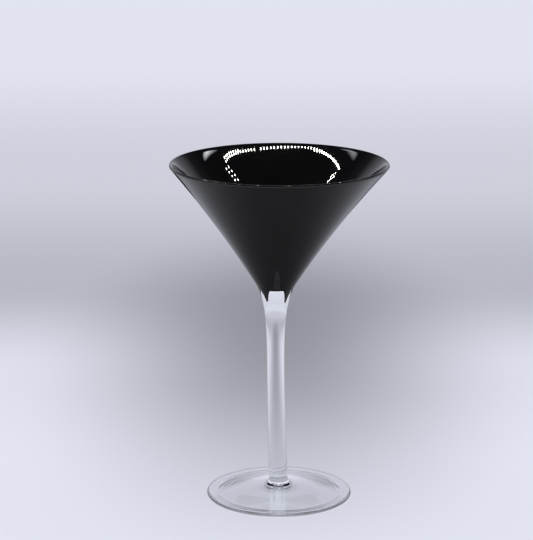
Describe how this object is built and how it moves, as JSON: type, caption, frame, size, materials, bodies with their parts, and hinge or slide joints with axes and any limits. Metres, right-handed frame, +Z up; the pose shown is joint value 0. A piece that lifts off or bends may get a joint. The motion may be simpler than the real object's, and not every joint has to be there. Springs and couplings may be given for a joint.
{
  "type": "martini glass",
  "caption": "Stemmed cocktail glass with an opaque black conical bowl on a clear solid stem and a clear round foot.",
  "frame": {"origin": "centre of the foot, on the plane it rests on", "axes": "+Z up along the glass's axis, from the foot through the stem to the bowl's rim; X and Y lie on the rest plane, and the glass is the same all round"},
  "size_m": [0.113, 0.113, 0.178],
  "materials": {
    "black_glass": "opaque black glass, fire polished, gloss inside and out",
    "clear_stem_glass": "clear glass, fire polished, solid",
    "clear_foot_glass": "clear glass, fire polished, solid"
  },
  "bodies": {
    "root": {"bowl": "black_glass", "stem": "clear_stem_glass", "foot": "clear_foot_glass"}
  },
  "joints": []
}
